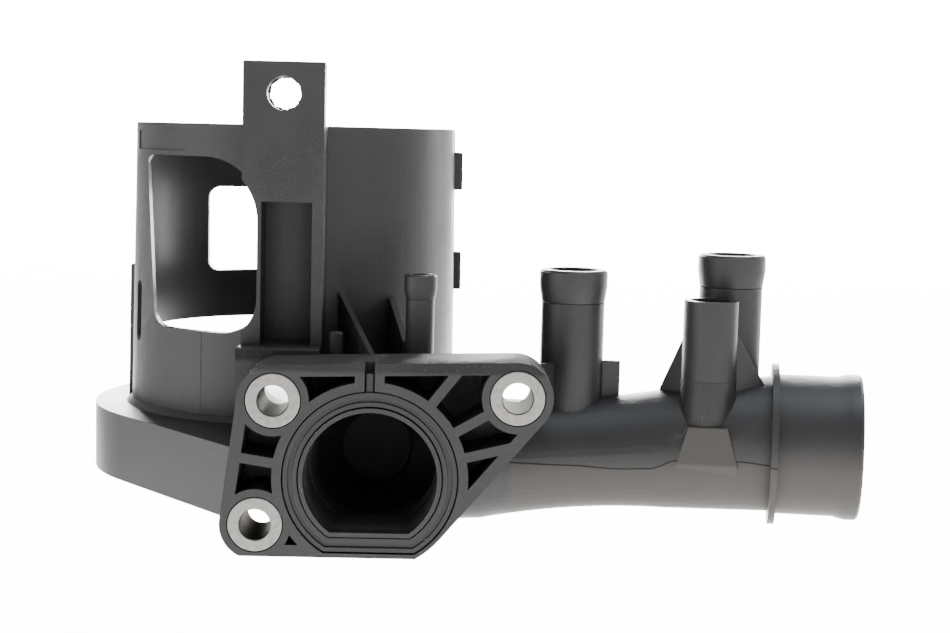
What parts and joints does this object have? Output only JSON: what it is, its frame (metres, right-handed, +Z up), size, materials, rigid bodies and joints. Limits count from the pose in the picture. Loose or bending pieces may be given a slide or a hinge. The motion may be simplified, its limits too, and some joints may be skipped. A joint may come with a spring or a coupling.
{
  "type": "coolant distributor",
  "caption": "Moulded coolant distributor: port flange with bolt sleeves and gasket, main hose pipe with small outlets, windowed round holder and mounting bar.",
  "frame": {"origin": "centre of the port on the flange's sealing face", "axes": "-Y out of the port towards the engine, +X along the main pipe to its hose end, +Z up along the outlets"},
  "size_m": [0.2349, 0.161, 0.1348],
  "materials": {
    "moulding": "satin moulded glass-filled nylon",
    "gasket": "smooth moulded rubber",
    "sleeve": "satin turned"
  },
  "bodies": {
    "root": {"distributor_body": "moulding", "port_gasket": "gasket", "sleeve_low_left": "sleeve", "sleeve_right": "sleeve", "sleeve_top_left": "sleeve"}
  },
  "joints": []
}
